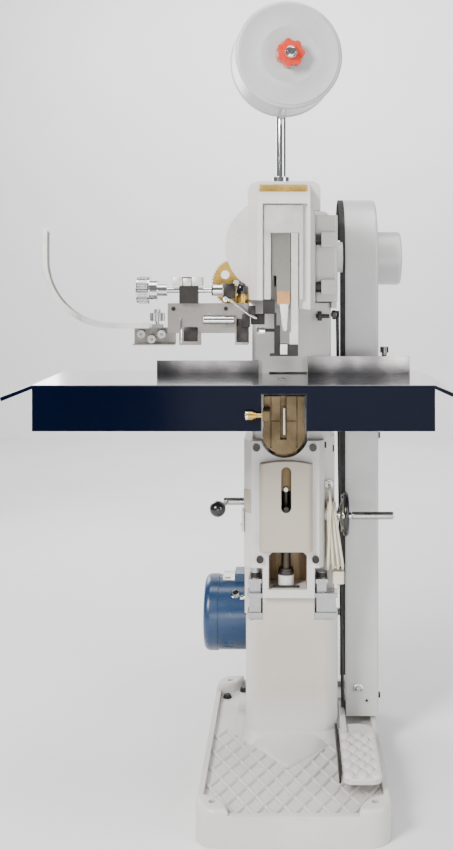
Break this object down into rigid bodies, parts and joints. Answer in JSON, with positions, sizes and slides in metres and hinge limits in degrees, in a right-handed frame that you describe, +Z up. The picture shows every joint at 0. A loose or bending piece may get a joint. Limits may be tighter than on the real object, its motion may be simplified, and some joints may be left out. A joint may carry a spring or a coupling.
{
  "type": "bag closing wire stitching machine",
  "caption": "Floor-standing motor-driven wire stitching machine that closes bags on a height-adjustable table, with wire reel, belt guard, handwheel and foot pedal.",
  "frame": {"origin": "centre of the base casting's footprint, on the floor", "axes": "+X to the operator's right, +Y away from the operator to the back, +Z up"},
  "size_m": [0.957, 0.736, 1.741],
  "materials": {
    "frame_paint": "satin, worn warm grey enamel",
    "cover_paint": "satin beige-grey enamel",
    "guard_paint": "satin light grey sheet metal",
    "reel_paint": "satin light grey",
    "table_paint": "gloss dark navy",
    "motor_paint": "satin blue",
    "dark_steel": "oiled dark steel",
    "bright_steel": "machined",
    "bronze": "cast bronze, oiled",
    "brass": "polished",
    "iron": "bare casting",
    "wheel_chrome": "worn chrome rim",
    "black_plastic": "gloss black",
    "red_plastic": "gloss red",
    "belt_rubber": "matt black",
    "cable_cream": "matt cream plastic"
  },
  "bodies": {
    "frame": {"base_casting": "frame_paint", "pedestal_casting": "frame_paint", "clamp_blocks": "dark_steel", "lower_column": "frame_paint", "slide_cover": "cover_paint", "frame_bolts": "dark_steel", "upper_frame": "frame_paint", "head_casting": "frame_paint", "brass_strip": "brass", "ram_gib_plate": "bright_steel", "guide_bar": "bright_steel", "nose_holder": "dark_steel", "forming_block": "bright_steel", "bearing_cap": "frame_paint", "belt_guard": "guard_paint", "guard_back_plate": "guard_paint", "hub_cover": "guard_paint", "motor_casing": "motor_paint", "motor_fan_cover": "motor_paint", "motor_bracket": "frame_paint", "reel_stand": "bright_steel", "feed_plate": "bright_steel", "straightener_block": "dark_steel", "wire_chute": "bright_steel", "screw_block": "dark_steel", "oil_cup": "brass", "pedal_bracket": "frame_paint", "v_belt": "belt_rubber", "cable_gland": "bright_steel", "supply_cable": "cable_cream", "cable_coil": "cable_cream", "supply_plug": "cable_cream"},
    "reel": {"reel_drum": "reel_paint", "wire_coil": "bright_steel"},
    "reel_knob": {"star_knob": "red_plastic"},
    "ram": {"ram_block": "bright_steel", "ram_shoe": "bronze", "driver_blade": "bright_steel"},
    "rocker": {"rocker_lever": "iron"},
    "drive_shaft": {"main_shaft": "bright_steel", "flywheel": "iron"},
    "motor_shaft": {"motor_rotor": "bright_steel"},
    "feed_wheel": {"feed_gear": "brass"},
    "roller_1": {"straightener_roller_1": "bright_steel"},
    "roller_2": {"straightener_roller_2": "bright_steel"},
    "roller_3": {"straightener_roller_3": "bright_steel"},
    "tension_screw": {"adjusting_screw": "bright_steel"},
    "roller_screw": {"roller_thumb_screw": "brass"},
    "knee": {"clincher_arm": "bronze", "clincher_post": "bright_steel", "table": "table_paint", "fences": "bright_steel"},
    "clincher_screw": {"clincher_thumb_screw": "brass"},
    "height_screw": {"jack_screw": "bright_steel"},
    "wheel": {"handwheel": "wheel_chrome"},
    "wheel_grip": {"crank_grip": "black_plastic"},
    "lever": {"clamp_lever": "bright_steel"},
    "pedal": {"foot_pedal": "iron"},
    "pull": {"pull_rod": "bright_steel"},
    "trip": {"trip_lever": "dark_steel"}
  },
  "joints": [
    {"name": "main_shaft_spin", "type": "hinge", "parent": "frame", "child": "drive_shaft", "pos_m": [0, 0.251, 1.187], "axis": [1, 0, 0], "continuous": true},
    {"name": "motor_spin", "type": "hinge", "parent": "frame", "child": "motor_shaft", "pos_m": [0, 0.24, 0.278], "axis": [1, 0, 0], "continuous": true},
    {"name": "rocker_swing", "type": "hinge", "parent": "frame", "child": "rocker", "pos_m": [0, 0.05, 1.187], "axis": [1, 0, 0], "range_deg": [0, 14.5]},
    {"name": "ram_slide", "type": "slide", "parent": "frame", "child": "ram", "axis": [0, 0, -1], "range_m": [0, 0.0381]},
    {"name": "reel_spin", "type": "hinge", "parent": "frame", "child": "reel", "pos_m": [-0.029, -0.04, 1.622], "axis": [0.1449, -0.9895, 0], "continuous": true},
    {"name": "reel_knob_turn", "type": "hinge", "parent": "frame", "child": "reel_knob", "pos_m": [-0.029, -0.04, 1.622], "axis": [0.1449, -0.9895, 0], "range_deg": [0, 720]},
    {"name": "feed_spin", "type": "hinge", "parent": "frame", "child": "feed_wheel", "pos_m": [-0.133, -0.015, 1.127], "axis": [0, 1, 0], "continuous": true},
    {"name": "roller_1_spin", "type": "hinge", "parent": "frame", "child": "roller_1", "pos_m": [-0.336, -0.12, 1.015], "axis": [0, 1, 0], "continuous": true},
    {"name": "roller_2_spin", "type": "hinge", "parent": "frame", "child": "roller_2", "pos_m": [-0.313, -0.12, 1.004], "axis": [0, 1, 0], "continuous": true},
    {"name": "roller_3_spin", "type": "hinge", "parent": "frame", "child": "roller_3", "pos_m": [-0.291, -0.12, 1.015], "axis": [0, 1, 0], "continuous": true},
    {"name": "tension_turn", "type": "hinge", "parent": "frame", "child": "tension_screw", "pos_m": [-0.3, -0.123, 1.112], "axis": [1, 0, 0], "range_deg": [-720, 720]},
    {"name": "roller_screw_turn", "type": "hinge", "parent": "frame", "child": "roller_screw", "pos_m": [-0.302, -0.119, 1.05], "axis": [0, 0, 1], "range_deg": [-360, 360]},
    {"name": "knee_slide", "type": "slide", "parent": "frame", "child": "knee", "axis": [0, 0, 1], "range_m": [-0.03, 0.045]},
    {"name": "clincher_screw_turn", "type": "hinge", "parent": "knee", "child": "clincher_screw", "pos_m": [-0.09, -0.243, 0.852], "axis": [1, 0, 0], "range_deg": [-360, 360]},
    {"name": "height_screw_turn", "type": "hinge", "parent": "frame", "child": "height_screw", "pos_m": [-0.018, 0.022, 0.5], "axis": [0, 0, 1], "range_deg": [-1640, 1100]},
    {"name": "handwheel_turn", "type": "hinge", "parent": "frame", "child": "wheel", "pos_m": [0.1, 0.022, 0.582], "axis": [1, 0, 0], "range_deg": [-1640, 1100]},
    {"name": "grip_spin", "type": "hinge", "parent": "wheel", "child": "wheel_grip", "pos_m": [0.18, -0.018, 0.588], "axis": [1, 0, 0], "continuous": true},
    {"name": "clamp_lever_turn", "type": "hinge", "parent": "frame", "child": "lever", "pos_m": [-0.13, 0.022, 0.612], "axis": [1, 0, 0], "range_deg": [-35, 35]},
    {"name": "pedal_press", "type": "hinge", "parent": "frame", "child": "pedal", "pos_m": [0.115, 0.125, 0.094], "axis": [1, 0, 0], "range_deg": [0, 4], "stiffness_Nm_per_rad": 80, "springref_deg": -8.59},
    {"name": "pull_rod_slide", "type": "slide", "parent": "frame", "child": "pull", "axis": [0, 0, -1], "range_m": [0, 0.0036]},
    {"name": "trip_turn", "type": "hinge", "parent": "frame", "child": "trip", "pos_m": [0.095, 0.05, 1.05], "axis": [1, 0, 0], "range_deg": [-4.6, 0.2]}
  ],
  "couplings": [
    {"joint": "motor_spin", "follows": "main_shaft_spin", "ratio": 2.8444},
    {"joint": "ram_slide", "follows": "rocker_swing", "m_per_rad": 0.15},
    {"joint": "roller_1_spin", "follows": "feed_spin", "ratio": 8.1},
    {"joint": "roller_2_spin", "follows": "feed_spin", "ratio": -8.1},
    {"joint": "roller_3_spin", "follows": "feed_spin", "ratio": 8.1},
    {"joint": "height_screw_turn", "follows": "knee_slide", "rad_per_m": -628.32},
    {"joint": "handwheel_turn", "follows": "knee_slide", "rad_per_m": -628.32},
    {"joint": "pull_rod_slide", "follows": "pedal_press", "m_per_rad": 0.05},
    {"joint": "trip_turn", "follows": "pedal_press", "ratio": -1.1364}
  ]
}
